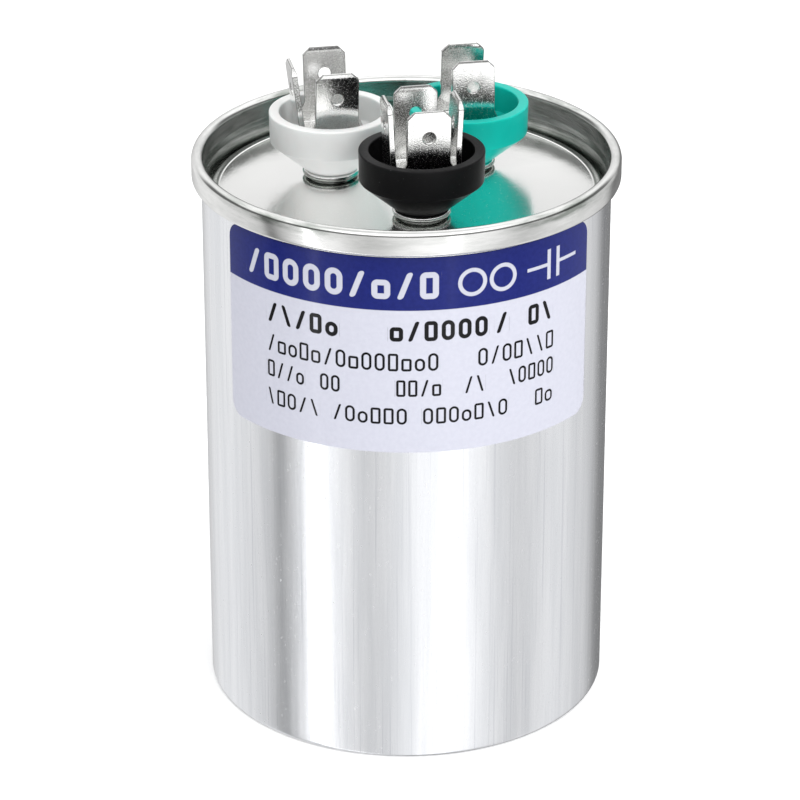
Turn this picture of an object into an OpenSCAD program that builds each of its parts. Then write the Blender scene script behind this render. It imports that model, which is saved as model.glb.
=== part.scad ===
// Motor run capacitor, dual section, in a round can with three clusters of tab terminals.
// Millimetres. The origin is the middle of the can's foot, +Z is up, the label faces -Y.

/* [Can] */
// Outer radius of the can
can_r = 30; // [28:0.5:34]
// Height of the can over its seam
can_h = 85; // [80:1:110]
// Thickness of the can's wall and floor
can_wall = 0.36; // [0.3:0.02:0.5]
// Outer radius of the edge between wall and floor
can_edge_r = 0.75; // [0.6:0.05:2]
// Width of the ring that the can stands on
foot_w = 4.5; // [3:0.5:8]
// Rise of the floor inside that ring
foot_rise = 0.5; // [0.3:0.1:1]

/* [Seam and lid] */
// Thickness of the lid's sheet
lid_sheet = 0.32; // [0.25:0.01:0.36]
// Space between two layers of the double seam
seam_gap = 0.03; // [0.02:0.01:0.05]
// Height of the double seam
seam_h = 3.7; // [3.2:0.1:4.5]
// Depth of the lid's panel under the top of the seam
dish_depth = 5.45; // [5:0.1:7]
// Rise of the panel over the groove around it
panel_rise = 1.6; // [1.2:0.1:2]
// Radius of the panel's rounded edge
panel_edge_r = 0.55; // [0.4:0.05:0.7]
// Radius of the groove around the panel
groove_r = 0.36; // [0.3:0.02:0.5]
// Turn of the lid against the label
lid_turn = 10.8; // [0:0.1:20]

/* [Terminal cups] */
// Radius of the circle that the terminals stand on
pitch_r = 11.7; // [11.4:0.05:14]
// Outer radius of a cup at its mouth
cup_r = 9.1; // [8.8:0.1:9.6]
// Wall of a cup at its mouth
cup_wall = 1.5; // [1.2:0.1:1.7]
// Height of a cup's upright wall
cup_wall_h = 4.6; // [4:0.05:5]
// Draft of that wall from the mouth down to the cone
cup_draft = 0.1; // [0:0.05:0.3]
// Height of the cone under that wall
cup_cone_h = 4.35; // [4:0.05:6]
// Radius of the seat under the cone
cup_seat_r = 3.85; // [3.7:0.05:4.2]
// Depth of the well from the mouth to its floor
cup_well = 4.05; // [3:0.05:4.2]
// Rounding of the mouth's edges
cup_round = 0.2; // [0.1:0.05:0.5]
// Bore of the lid's collar under a cup
collar_bore_r = 3.2; // [3:0.05:3.4]
// Height of the collar over the panel
collar_h = 1.15; // [0.9:0.05:1.5]
// Radius of the bead around the collar's mouth
collar_bead_r = 0.45; // [0.25:0.05:0.5]

/* [Tab terminals] */
// Thickness of the terminal sheet
tab_t = 0.8; // [0.7:0.05:0.9]
// Width of a tab
tab_w = 6.3; // [6.2:0.05:6.4]
// Height of a tab's tip over its plate
tab_h = 11.1; // [10:0.1:12]
// Distance from the middle of a plate to a tab's outer face
tab_reach = 5; // [4.9:0.05:5.2]
// Inner radius of the bend at a tab's foot
bend_r = 0.3; // [0.2:0.05:0.4]
// Width of a tab's root
root_w = 7.5; // [7.2:0.1:7.6]
// Height over the plate at which the root starts to narrow
root_h = 2; // [1.5:0.1:2.4]
// Height over the plate at which the root ends in the tab
shoulder_h = 3.15; // [2.8:0.05:3.6]
// Cut across each corner of the tip
tip_cut = 1.05; // [0.8:0.05:1.3]
// Height of the bevels at the tip
tip_bevel = 0.7; // [0.4:0.1:1]
// Thickness left at the tip
tip_t = 0.4; // [0.3:0.05:0.6]
// Diameter of the latch hole
hole_d = 1.9; // [1.6:0.1:2]
// Distance from the tip to the middle of that hole
hole_drop = 4; // [3.6:0.1:4.3]

/* [Rivets, washers and tags] */
// Radius of a rivet's shank
shank_r = 1.5; // [1.3:0.05:1.6]
// Radius of a rivet's heads
rivet_head_r = 2.4; // [2.1:0.1:2.7]
// Height of a rivet's heads
rivet_head_h = 0.8; // [0.6:0.1:1]
// Space between a stem, shank or sleeve and its bore
fit = 0.05; // [0.03:0.01:0.08]
// Radius of an inner washer
washer_r = 6.5; // [5.5:0.1:7]
// Thickness of an inner washer
washer_t = 1.5; // [1:0.1:2]
// Radius of a solder tag's eye
tag_r = 3.2; // [3:0.1:3.6]
// Thickness of a solder tag
tag_t = 0.5; // [0.4:0.05:0.6]
// Reach of a solder tag from its eye's middle
tag_reach = 6.5; // [6:0.1:7.5]

/* [Winding] */
// Space between the top of the rolls and the lid's panel
head_room = 16.5; // [15.5:0.1:25]
// Space for the oil between the bottom cup and the can's wall
oil_gap = 1.04; // [0.8:0.02:3]
// Outer radius of the small roll
inner_r = 9.9; // [9:0.1:10.2]
// Outer radius of the core tube
core_r = 4; // [3.6:0.1:4.5]
// Wall of the core tube
core_wall = 1; // [0.8:0.1:1.2]
// Wall of the sleeve between the rolls
sleeve_wall = 0.4; // [0.3:0.05:0.6]
// Height of the sleeve and the core tube over the end sprays
sleeve_rise = 1; // [0.5:0.1:2]
// Thickness of the sprayed zinc ends
spray_t = 0.8; // [0.5:0.1:1]
// Thickness of the wrap around the large roll
wrap_t = 0.4; // [0.3:0.05:0.6]
// Width of a lead tape
tape_w = 4; // [3:0.1:4.4]
// Thickness of a lead tape
tape_t = 0.3; // [0.2:0.05:0.4]

/* [Inner mouldings] */
// Thickness of the bottom cup's floor
base_floor = 0.8; // [0.6:0.1:1.2]
// Wall of the bottom cup
base_wall = 0.9; // [0.7:0.05:1.0]
// Height of the bottom cup
base_h = 7; // [5:0.5:12]
// Number of ribs on the bottom cup and of oil holes in the disc
rib_count = 6; // [4:1:8]
// Thickness of the disconnect disc
disc_t = 1.6; // [1.2:0.1:2]
// Height of the disc's skirt
skirt_h = 6; // [4:0.5:6.5]
// Wall of the disc's skirt
skirt_wall = 1.5; // [1:0.1:2]

/* [Label] */
// Thickness of the label
label_t = 0.08; // [0.05:0.01:0.09]
// Height of the label
label_h = 30.2; // [20:0.1:32]
// Distance from the top of the seam to the label
label_drop = 4.3; // [4.2:0.1:6]
// Half of the label's angle around the can
label_half_angle = 58.2; // [40:0.1:65]
// Turn of the label's middle from the front
label_turn = 1.1; // [-5:0.1:5]
// Radius of the label's corners
label_corner = 2.4; // [1:0.1:4]

/* [Hidden] */
$fn = 96;

// Directions of the three terminals in the lid
BLACK = -90;
WHITE = 150;
GREEN = 30;

// How far each tab leans out: front, right, back and left, undef where there is no tab
black_leans = [4.6, 2.8, 1.4, 3.2];
white_leans = [6.2, undef, 8, 7];
green_leans = [-0.4, undef, -8.4, undef];

// Middle lines of the five layers of the seam, from the lid's inner wall outwards
layer = can_wall / 2 + seam_gap + lid_sheet / 2;
neck_out = layer - seam_gap;
body_line = can_r - can_wall / 2;
chuck_low = body_line - layer;
chuck_high = chuck_low + neck_out;
arch_r = chuck_high + 2 * layer;
arch_z = can_h - lid_sheet / 2 - 2 * layer;
curl_z = can_h - seam_h + lid_sheet / 2 + layer;
neck_z = can_h - seam_h - 0.1;
neck_top = neck_z + 0.8;
hook_gap = 0.35; // between the end of a hook and the fold round it
compound_gap = 0.05; // round the sealing compound

// Levels, from the panel upwards
panel_z = can_h - dish_depth;
panel_under = panel_z - lid_sheet;
seat_z = panel_z + collar_h;
cone_top = seat_z + cup_cone_h;
cup_top = cone_top + cup_wall_h;
well_z = cup_top - cup_well;
plate_z = well_z + tab_t;
cup_bore = shank_r + fit;
stem_r = collar_bore_r - 2 * fit;

// Levels, from the panel downwards
washer_z = panel_under - washer_t;
tag_z = washer_z - tag_t;
tail_in = pitch_r - tag_reach;

// Levels, from the can's floor upwards
base_z = foot_rise + can_wall;
tape_z = base_z + base_floor;
spray_z = tape_z + tape_t;
winding_z = spray_z + spray_t;
winding_top = panel_under - head_room;
winding_h = winding_top - winding_z;
spray_top = winding_top + spray_t;
disc_z = spray_top + skirt_h;
sleeve_in = inner_r + fit;
outer_in = sleeve_in + sleeve_wall + fit;
bore_in = can_r - can_wall;
base_out = bore_in - oil_gap;
base_in = base_out - base_wall;
wrap_out = base_in - fit;
wrap_in = wrap_out - wrap_t;
winding_r = wrap_in - fit;
disc_r = bore_in - 2 * fit;
skirt_r = winding_r - 1;
core_in = core_r - core_wall;

// Places of the lead tapes, as distances from the can's middle
white_rise = inner_r - 1.5;
green_rise = outer_in + 2.5;
foot_len = 3;
tape_mid = tape_t / 2;

// Half the flat of a terminal plate, up to the start of a bend
flat = tab_reach - tab_t - bend_r;

METAL = "silver";
TIN = "gainsboro";
ZINC = "darkgray";
FILM = "lightgoldenrodyellow";

// Points of an arc about c
function arc(c, r, a0, a1, n = 8) =
    [for (i = [0 : n]) let (a = a0 + (a1 - a0) * i / n) c + r * [cos(a), sin(a)]];

// Normal at point i of a line of points, long enough to keep the thickness at a bend
function miter(p, i) =
    let (a = p[max(i, 1)] - p[max(i, 1) - 1],
         b = p[min(i + 1, len(p) - 1)] - p[min(i, len(p) - 2)],
         na = [-a[1], a[0]] / norm(a),
         nb = [-b[1], b[0]] / norm(b))
    (na + nb) / (1 + na * nb);

// Outline of a strip of thickness t along a middle line
function strip(p, t) =
    concat([for (i = [0 : len(p) - 1]) p[i] + miter(p, i) * t / 2],
           [for (i = [len(p) - 1 : -1 : 0]) p[i] - miter(p, i) * t / 2]);

// Turns a strip about the can's axis
module spun(p, t) {
    rotate_extrude() polygon(strip(p, t));
}

// A ring between two radii, standing on z
module ring(inner, outer, z, h) {
    translate([0, 0, z])
        rotate_extrude() translate([inner, 0]) square([outer - inner, h]);
}

// Carries a child to a terminal's axis, unturned against the lid
module at_terminal(direction) {
    rotate(lid_turn) translate(pitch_r * [cos(direction), sin(direction)]) children();
}

module can() {
    corner = [can_r - can_edge_r, can_edge_r];
    color(METAL) spun(concat(
        [[0, foot_rise + can_wall / 2],
         [can_r - can_edge_r - foot_w - foot_rise, foot_rise + can_wall / 2],
         [can_r - can_edge_r - foot_w, can_wall / 2]],
        arc(corner, can_edge_r - can_wall / 2, -90, 0),
        [[body_line, neck_z], [body_line + neck_out, neck_top]],
        arc([arch_r, arch_z], layer, 180, 0),
        [[arch_r + layer, curl_z + hook_gap]]), can_wall);
}

module lid_sheet_form() {
    spun(concat(
        [[0, panel_z - lid_sheet / 2]],
        arc([chuck_low - 2 * groove_r - panel_edge_r, panel_z - lid_sheet / 2 - panel_edge_r],
            panel_edge_r, 90, 0),
        arc([chuck_low - groove_r, panel_z - panel_rise + groove_r - lid_sheet / 2],
            groove_r, 180, 360),
        [[chuck_low, neck_z], [chuck_high, neck_top]],
        arc([arch_r, arch_z], 2 * layer, 180, 0),
        arc([arch_r + layer, curl_z], layer, 0, -180),
        [[arch_r, arch_z - 2 * hook_gap]]), lid_sheet);
}

// Drawn collar with a rolled bead at its mouth
module collar() {
    bead_mid = collar_bore_r + collar_bead_r + lid_sheet / 2;
    translate([0, 0, panel_under]) rotate_extrude() {
        translate([collar_bore_r, 0])
            square([lid_sheet, lid_sheet + collar_h - collar_bead_r]);
        translate([bead_mid, lid_sheet + collar_h - collar_bead_r])
            circle(r = collar_bead_r, $fn = 32);
    }
}

module lid() {
    color(TIN) {
        difference() {
            lid_sheet_form();
            for (d = [WHITE, BLACK, GREEN])
                at_terminal(d) translate([0, 0, panel_under - 1])
                    cylinder(r = collar_bore_r, h = lid_sheet + 2);
        }
        for (d = [WHITE, BLACK, GREEN]) at_terminal(d) collar();
    }
}

// Ring of sealing compound between the end of the lid's hook and the can's flange
module seam_compound() {
    half = layer - can_wall / 2 - compound_gap;
    color("dimgray")
        ring(arch_r - half, arch_r + half, arch_z - 2 * hook_gap + compound_gap,
             2 * hook_gap - compound_gap);
}

// Corner of the flat label about its middle, at the end of its arc that faces x and z
function label_arc(x, z) =
    let (half = [can_r * label_half_angle * PI / 180, label_h / 2],
         mid = [x * (half[0] - label_corner), z * (half[1] - label_corner)],
         start = x > 0 ? (z > 0 ? 0 : -90) : (z > 0 ? 90 : 180))
    arc(mid, label_corner, start, start + 90, 6);

// Film wrapped round the can: its flat outline is rolled up and seen along Y
module label() {
    flat_form = concat(label_arc(1, -1), label_arc(1, 1), label_arc(-1, 1), label_arc(-1, -1));
    low = can_h - label_drop - label_h;
    color("royalblue") rotate(label_turn) intersection() {
        ring(can_r, can_r + label_t, low - 1, label_h + 2);
        translate([0, 0, low + label_h / 2])
            rotate([90, 0, 0]) linear_extrude(can_r + 1)
                polygon([for (p = flat_form)
                             [(can_r + label_t) * sin(p[0] / can_r * 180 / PI), p[1]]]);
    }
}

// Moulded cup: a stem in the lid's collar, a cone, and an upright wall round the well
module cup() {
    mouth = cup_r - cup_wall;
    shoulder = cup_r - cup_draft - cup_round;
    rotate_extrude() polygon(concat(
        [[cup_bore, panel_under], [stem_r, panel_under], [stem_r, seat_z],
         [cup_seat_r, seat_z], [shoulder, cone_top]],
        arc([shoulder, cone_top + cup_round], cup_round, -50, 0, 3),
        arc([cup_r - cup_round, cup_top - cup_round], cup_round, 0, 90, 4),
        arc([mouth + cup_round, cup_top - cup_round], cup_round, 90, 180, 4),
        arc([mouth - cup_round, well_z + cup_round], cup_round, 0, -90, 4),
        [[cup_bore, well_z]]));
}

module white_cup() {
    color("ghostwhite") at_terminal(WHITE) cup();
}

module black_cup() {
    color([0.09, 0.09, 0.1]) at_terminal(BLACK) cup();
}

module green_cup() {
    color([0.1, 0.72, 0.66]) at_terminal(GREEN) cup();
}

// What is cut from a tab's strip, seen on its face from the bend's axis upwards:
// all outside its outline, and the latch hole
module tab_trim() {
    top = tab_h - bend_r;
    low = 2 * root_h - shoulder_h - bend_r;
    side = [[root_w - tab_w / 2, low], [tab_w / 2, shoulder_h - bend_r],
            [tab_w / 2, top - tip_cut], [tab_w / 2 - 2 * tip_cut, top + tip_cut]];
    difference() {
        translate([-root_w, low]) square([2 * root_w, top + tip_cut - low]);
        polygon(concat(side, [for (i = [3 : -1 : 0]) [-side[i][0], side[i][1]]]));
    }
    translate([0, top - hole_drop]) circle(d = hole_d);
}

// Side view of a tab about its bend's axis: bend, leaning blade and bevelled tip
function tab_section(lean) =
    let (out = [-cos(lean), -sin(lean)],
         up = [-sin(lean), cos(lean)],
         top = tab_h - bend_r,
         face = bend_r + tab_t,
         bevel = (tab_t - tip_t) / 2)
    concat([[tab_t, -bend_r]],
           arc([0, 0], bend_r, -90, lean - 180),
           [bend_r * out + (top - tip_bevel) * up, (bend_r + bevel) * out + top * up,
            (face - bevel) * out + top * up, face * out + (top - tip_bevel) * up],
           arc([0, 0], face, lean - 180, -90),
           [[tab_t, -face]]);

// Tab bent up from the plate's -Y side and leaning out
module tab(lean) {
    translate([0, -flat, tab_t + bend_r]) difference() {
        rotate([90, 0, 90]) linear_extrude(root_w, center = true) polygon(tab_section(lean));
        rotate([lean, 0, 0]) rotate([90, 0, 0]) linear_extrude(2 * tab_reach) tab_trim();
    }
}

// Terminal plate with its tabs; a side without a tab keeps a flat arm
module tabs(leans) {
    translate([0, 0, well_z]) {
        linear_extrude(tab_t) difference() {
            union() {
                square([2 * flat, root_w], center = true);
                square([root_w, 2 * flat], center = true);
                for (i = [0 : 3])
                    if (is_undef(leans[i]))
                        rotate(90 * i) translate([-root_w / 2, -tab_reach])
                            square([root_w, tab_reach]);
            }
            circle(r = shank_r + fit);
        }
        for (i = [0 : 3])
            if (!is_undef(leans[i]))
                rotate(90 * i) tab(leans[i]);
    }
}

module white_tabs() {
    color(TIN) at_terminal(WHITE) tabs(white_leans);
}

module black_tabs() {
    color(TIN) at_terminal(BLACK) tabs(black_leans);
}

module green_tabs() {
    color(TIN) at_terminal(GREEN) tabs(green_leans);
}

// Rivet from the plate down to the solder tag, with a domed head and a clinched end
module rivet() {
    dome = (rivet_head_r * rivet_head_r + rivet_head_h * rivet_head_h) / (2 * rivet_head_h);
    edge = asin((dome - rivet_head_h) / dome);
    color(METAL) rotate_extrude() polygon(concat(
        [[0, tag_z - rivet_head_h], [rivet_head_r - rivet_head_h / 2, tag_z - rivet_head_h],
         [rivet_head_r, tag_z], [shank_r, tag_z], [shank_r, plate_z]],
        arc([0, plate_z + rivet_head_h - dome], dome, edge, 90)));
}

module white_rivet() {
    at_terminal(WHITE) rivet();
}

module black_rivet() {
    at_terminal(BLACK) rivet();
}

module green_rivet() {
    at_terminal(GREEN) rivet();
}

// Insulating washer between the lid's panel and the solder tag
module washer() {
    color("peru") ring(shank_r + fit, washer_r, washer_z, washer_t);
}

module white_washer() {
    at_terminal(WHITE) washer();
}

module black_washer() {
    at_terminal(BLACK) washer();
}

module green_washer() {
    at_terminal(GREEN) washer();
}

// Solder tag: an eye under the washer and a tail towards the can's middle
module tag(direction) {
    color(TIN) at_terminal(direction) rotate(direction)
        translate([0, 0, tag_z]) linear_extrude(tag_t) difference() {
            union() {
                circle(r = tag_r);
                translate([-tag_reach, -tape_w / 2]) square([tag_reach, tape_w]);
            }
            circle(r = shank_r + fit);
        }
}

module white_tag() {
    tag(WHITE);
}

module black_tag() {
    tag(BLACK);
}

module green_tag() {
    tag(GREEN);
}

// Lead tape along a middle line in the plane through a terminal's direction
module lead(direction, p) {
    color(METAL) rotate([90, 0, lid_turn + direction])
        linear_extrude(tape_w, center = true) polygon(strip(p, tape_t));
}

// From the small roll's spray straight up to the white tag
module white_lead() {
    lead(WHITE, [[white_rise - foot_len, spray_top + tape_mid],
                 [white_rise, spray_top + tape_mid],
                 [white_rise, tag_z - tape_mid],
                 [tail_in, tag_z - tape_mid]]);
}

// From the common spray at the bottom, up through the core tube, to the black tag
module black_lead() {
    bend_z = disc_z + disc_t + 1;
    lead(BLACK, [[core_r + foot_len, tape_z + tape_mid],
                 [0, tape_z + tape_mid],
                 [0, bend_z],
                 [tail_in, tag_z - tape_mid],
                 [tail_in + foot_len, tag_z - tape_mid]]);
}

// From the large roll's spray up through the disc and over to the green tag
module green_lead() {
    bend_z = disc_z + disc_t + 1;
    lead(GREEN, [[green_rise + foot_len, spray_top + tape_mid],
                 [green_rise, spray_top + tape_mid],
                 [green_rise, bend_z],
                 [tail_in + foot_len, tag_z - tape_mid],
                 [tail_in, tag_z - tape_mid]]);
}

module outer_winding() {
    color(FILM) ring(outer_in, winding_r, winding_z, winding_h);
}

module inner_winding() {
    color(FILM) ring(core_r + fit, inner_r, winding_z, winding_h);
}

module section_sleeve() {
    color("tan") ring(sleeve_in, sleeve_in + sleeve_wall, winding_z,
                      winding_h + spray_t + sleeve_rise);
}

module core_tube() {
    color("tan") ring(core_in, core_r, spray_z, spray_t + winding_h + spray_t + sleeve_rise);
}

module winding_wrap() {
    color("wheat") ring(wrap_in, wrap_out, winding_z, winding_h);
}

module bottom_spray() {
    color(ZINC) ring(core_r + fit, winding_r, spray_z, spray_t);
}

module outer_spray() {
    color(ZINC) ring(outer_in, winding_r, winding_top, spray_t);
}

module inner_spray() {
    color(ZINC) ring(core_r + fit, inner_r, winding_top, spray_t);
}

// Perforated stop disc on a skirt; the lid's bulge pulls the tapes from it when a fault
// raises the pressure
module disconnect_disc() {
    oil_r = 2;
    slot = tape_w + 1;
    color("ivory") {
        difference() {
            translate([0, 0, disc_z]) cylinder(r = disc_r, h = disc_t);
            translate([0, 0, disc_z - 1]) cylinder(r = core_r, h = disc_t + 2);
            for (tape = [[WHITE, white_rise], [GREEN, green_rise]])
                rotate(lid_turn + tape[0])
                    translate([tape[1] - slot / 4, -slot / 2, disc_z - 1])
                        cube([slot / 2, slot, disc_t + 2]);
            for (i = [1 : rib_count])
                rotate(lid_turn + 360 * i / rib_count)
                    translate([skirt_r - skirt_wall - 2 * oil_r, 0, disc_z - 1])
                        cylinder(r = oil_r, h = disc_t + 2);
        }
        ring(skirt_r - skirt_wall, skirt_r, spray_top, skirt_h);
    }
}

// Moulded cup that stands the rolls off the can, with ribs that centre it
module bottom_cup() {
    color("ivory") {
        difference() {
            translate([0, 0, base_z]) cylinder(r = base_out, h = base_h);
            translate([0, 0, tape_z]) cylinder(r = base_in, h = base_h);
        }
        for (i = [1 : rib_count])
            rotate(360 * i / rib_count)
                translate([base_out - base_wall / 2, -base_wall / 2, 2 * can_edge_r])
                    cube([disc_r - base_out + base_wall / 2 - fit, base_wall,
                          base_z + base_h - 2 * can_edge_r]);
    }
}

can();
lid();
seam_compound();
label();
white_cup();
black_cup();
green_cup();
white_tabs();
black_tabs();
green_tabs();
white_rivet();
black_rivet();
green_rivet();
white_washer();
black_washer();
green_washer();
white_tag();
black_tag();
green_tag();
white_lead();
black_lead();
green_lead();
outer_winding();
inner_winding();
section_sleeve();
core_tube();
winding_wrap();
bottom_spray();
outer_spray();
inner_spray();
disconnect_disc();
bottom_cup();
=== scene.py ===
"""Looks of a dual-section motor run capacitor: a drawn can with a seamed lid, a printed film label,
and three moulded cups that hold clusters of tab terminals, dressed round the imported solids."""

from __future__ import annotations

import logging
import math
from collections.abc import Iterable
from dataclasses import dataclass, field
from enum import Enum

import bpy
from mathutils import Euler, Matrix, Vector


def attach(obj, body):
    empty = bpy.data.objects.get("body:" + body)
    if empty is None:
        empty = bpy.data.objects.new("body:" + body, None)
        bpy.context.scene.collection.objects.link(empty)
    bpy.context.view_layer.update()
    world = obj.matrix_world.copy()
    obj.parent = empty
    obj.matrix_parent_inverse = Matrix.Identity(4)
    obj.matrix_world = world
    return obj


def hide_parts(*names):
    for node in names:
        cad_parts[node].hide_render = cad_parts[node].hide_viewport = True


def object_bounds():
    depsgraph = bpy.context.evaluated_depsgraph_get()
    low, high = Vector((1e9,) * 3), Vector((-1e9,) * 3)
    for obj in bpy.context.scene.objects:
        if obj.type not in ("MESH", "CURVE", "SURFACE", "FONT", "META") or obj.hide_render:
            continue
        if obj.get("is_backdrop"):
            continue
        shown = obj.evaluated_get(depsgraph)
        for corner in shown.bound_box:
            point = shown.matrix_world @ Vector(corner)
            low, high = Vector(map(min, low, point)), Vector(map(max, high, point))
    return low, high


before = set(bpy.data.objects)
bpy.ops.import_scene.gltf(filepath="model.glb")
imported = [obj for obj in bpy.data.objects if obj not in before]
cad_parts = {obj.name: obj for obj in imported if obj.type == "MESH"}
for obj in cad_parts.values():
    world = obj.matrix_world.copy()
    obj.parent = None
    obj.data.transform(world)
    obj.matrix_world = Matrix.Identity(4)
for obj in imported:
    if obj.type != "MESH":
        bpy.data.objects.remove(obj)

LOG = logging.getLogger("capacitor")
MM = 0.001
RELIEF = 0.0002         # what a bump height of 1 stands for, in metres
DRAWN_GAP = 1e-7        # points of a drawn line that are nearer than this are one
SPUN_GAP = 2e-7         # the same for a spun profile, whose ends meet
WELD_GAP = 0.002 * MM   # and for two solids that share a face
Point = tuple[float, float]
Span = tuple[float, float]
Place = tuple[float, float, float]
Colour = tuple[float, float, float, float]


# --------------------------------------------------------------------------------------- shading


class Value:
    """A number that varies over a surface; an expression on it adds its Math nodes."""

    def __init__(self, book: "NodeBook", socket: bpy.types.NodeSocket) -> None:
        """Wraps one socket.

        Args:
            book: The node book that the socket belongs to.
            socket: The output that carries the number.
        """
        self.book = book
        self.socket = socket

    def __add__(self, other: "float | Value") -> "Value":
        """The sum."""
        return self.book.maths("ADD", self, other)

    __radd__ = __add__

    def __sub__(self, other: "float | Value") -> "Value":
        """The difference."""
        return self.book.maths("SUBTRACT", self, other)

    def __rsub__(self, other: "float | Value") -> "Value":
        """The difference, with this value taken away."""
        return self.book.maths("SUBTRACT", other, self)

    def __mul__(self, other: "float | Value") -> "Value":
        """The product."""
        return self.book.maths("MULTIPLY", self, other)

    __rmul__ = __mul__

    def __truediv__(self, other: "float | Value") -> "Value":
        """The quotient."""
        return self.book.maths("DIVIDE", self, other)

    def __pow__(self, other: "float | Value") -> "Value":
        """The power."""
        return self.book.maths("POWER", self, other)

    def __abs__(self) -> "Value":
        """The number without its sign."""
        return self.book.maths("ABSOLUTE", self)

    def floor(self) -> "Value":
        """The whole number below."""
        return self.book.maths("FLOOR", self)

    def fraction(self) -> "Value":
        """What is over the whole number below."""
        return self.book.maths("FRACT", self)

    def most(self, other: "float | Value") -> "Value":
        """The larger of the two."""
        return self.book.maths("MAXIMUM", self, other)

    def rise(self, low: float, high: float) -> "Value":
        """A soft step.

        Args:
            low: Where it is still 0.
            high: Where it has reached 1.

        Returns:
            A number from 0 to 1.
        """
        node = self.book.node("ShaderNodeMapRange", {"interpolation_type": "SMOOTHSTEP"},
                              {0: self, 1: low, 2: high, 3: 0.0, 4: 1.0})
        return Value(self.book, node.outputs[0])

    def under(self, limit: float, soft: float) -> "Value":
        """1 below a limit and 0 above it, over a soft edge of twice the given width."""
        return 1 - self.rise(limit - soft, limit + soft)

    def band(self, low: float, high: float, soft: float) -> "Value":
        """1 between two limits and 0 outside them, over soft edges of twice the given width."""
        return abs(self - (low + high) / 2).under((high - low) / 2, soft)


def total(values: Iterable[Value]) -> Value:
    """The sum of one or more values."""
    first, *rest = values
    return sum(rest, first)


class NodeBook:
    """Adds nodes to one node tree."""

    def __init__(self, tree: bpy.types.NodeTree) -> None:
        """Clears the tree.

        Args:
            tree: The tree of a material or of the world.
        """
        self.tree = tree
        self.point: tuple[Value, Value, Value] | None = None
        tree.nodes.clear()

    def node(self, kind: str, settings: dict | None = None,
             inputs: dict | None = None) -> bpy.types.Node:
        """Adds one node.

        Args:
            kind: The node's type.
            settings: What is set on the node itself; "stops" fills its colour ramp.
            inputs: Numbers, colours, values or sockets for its inputs, by name or place.

        Returns:
            The new node.
        """
        made = self.tree.nodes.new(kind)
        for key, setting in (settings or {}).items():
            if key == "stops":
                self._fill(made.color_ramp, setting)
            else:
                setattr(made, key, setting)
        for key, given in (inputs or {}).items():
            if isinstance(given, Value):
                given = given.socket
            if isinstance(given, bpy.types.NodeSocket):
                self.tree.links.new(given, made.inputs[key])
            else:
                made.inputs[key].default_value = given
        return made

    @staticmethod
    def _fill(ramp: bpy.types.ColorRamp, stops: list[tuple[float, Colour]]) -> None:
        """Gives a ramp its stops.

        Args:
            ramp: The colour ramp.
            stops: Places from 0 to 1, each with its colour.
        """
        while len(ramp.elements) < len(stops):
            ramp.elements.new(1.0)
        for element, (place, colour) in zip(ramp.elements, stops):
            element.position = place
            element.color = colour

    def maths(self, operation: str, *terms: "float | Value") -> Value:
        """Adds a Math node.

        Args:
            operation: Its operation.
            terms: Its inputs in order.

        Returns:
            Its result.
        """
        made = self.node("ShaderNodeMath", {"operation": operation}, dict(enumerate(terms)))
        return Value(self, made.outputs[0])

    def split(self, vector: bpy.types.NodeSocket) -> tuple[Value, Value, Value]:
        """The three numbers of a vector."""
        x, y, z = self.node("ShaderNodeSeparateXYZ", None, {0: vector}).outputs
        return Value(self, x), Value(self, y), Value(self, z)

    def place(self) -> tuple[Value, Value, Value]:
        """The point of the surface in metres, asked for once.

        Returns:
            Its x, y and z.
        """
        if self.point is None:
            self.point = self.split(self.node("ShaderNodeTexCoord").outputs["Object"])
        return self.point

    def angle(self, x: Value, y: Value) -> Value:
        """The angle round the Z axis from the front, in radians."""
        return self.maths("ARCTAN2", x, 0 - y)

    def polar(self) -> tuple[Value, Value, Value]:
        """Radius, angle from the front in radians, and height of the point, in metres."""
        x, y, z = self.place()
        return (x * x + y * y) ** 0.5, self.angle(x, y), z

    def vector(self, x: "float | Value", y: "float | Value",
               z: "float | Value") -> bpy.types.NodeSocket:
        """A vector from three numbers."""
        return self.node("ShaderNodeCombineXYZ", None, {0: x, 1: y, 2: z}).outputs[0]

    def noise(self, vector: bpy.types.NodeSocket, scale: float, detail: float = 2.0,
              rough: float = 0.5) -> Value:
        """Noise from 0 to 1.

        Args:
            vector: Where it is read.
            scale: Cells in one unit of the vector.
            detail: Octaves over the first.
            rough: Strength of those octaves.

        Returns:
            The noise.
        """
        made = self.node("ShaderNodeTexNoise", None,
                         {"Vector": vector, "Scale": scale, "Detail": detail,
                          "Roughness": rough})
        return Value(self, made.outputs[0])

    def clouds(self, scale: float, detail: float = 2.0, rough: float = 0.5,
               lift: float = 1.0) -> Value:
        """Noise in space; with a small lift it is drawn out into upright streaks.

        Args:
            scale: Cells in a metre.
            detail: Octaves over the first.
            rough: Strength of those octaves.
            lift: How much the height counts beside the other two directions.

        Returns:
            The noise, from 0 to 1.
        """
        x, y, z = self.place()
        return self.noise(self.vector(x, y, z if lift == 1.0 else z * lift), scale, detail, rough)

    def chance(self, index: Value) -> Value:
        """A fixed random number from 0 to 1 for each whole number."""
        made = self.node("ShaderNodeTexWhiteNoise", {"noise_dimensions": "1D"}, {"W": index})
        return Value(self, made.outputs["Value"])

    def mix(self, factor: "float | Value", first: "Colour | bpy.types.NodeSocket",
            second: "Colour | bpy.types.NodeSocket") -> bpy.types.NodeSocket:
        """Blends two colours.

        Args:
            factor: How much of the second shows, from 0 to 1.
            first: The first colour.
            second: The second colour.

        Returns:
            The blended colour.
        """
        made = self.node("ShaderNodeMix", {"data_type": "RGBA"},
                         {0: factor, 6: first, 7: second})
        return made.outputs[2]

    def bump(self, height: Value) -> bpy.types.NodeSocket:
        """A normal that is bent by a height."""
        return self.node("ShaderNodeBump", None,
                         {"Strength": 1.0, "Distance": RELIEF, "Height": height}).outputs[0]


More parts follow.
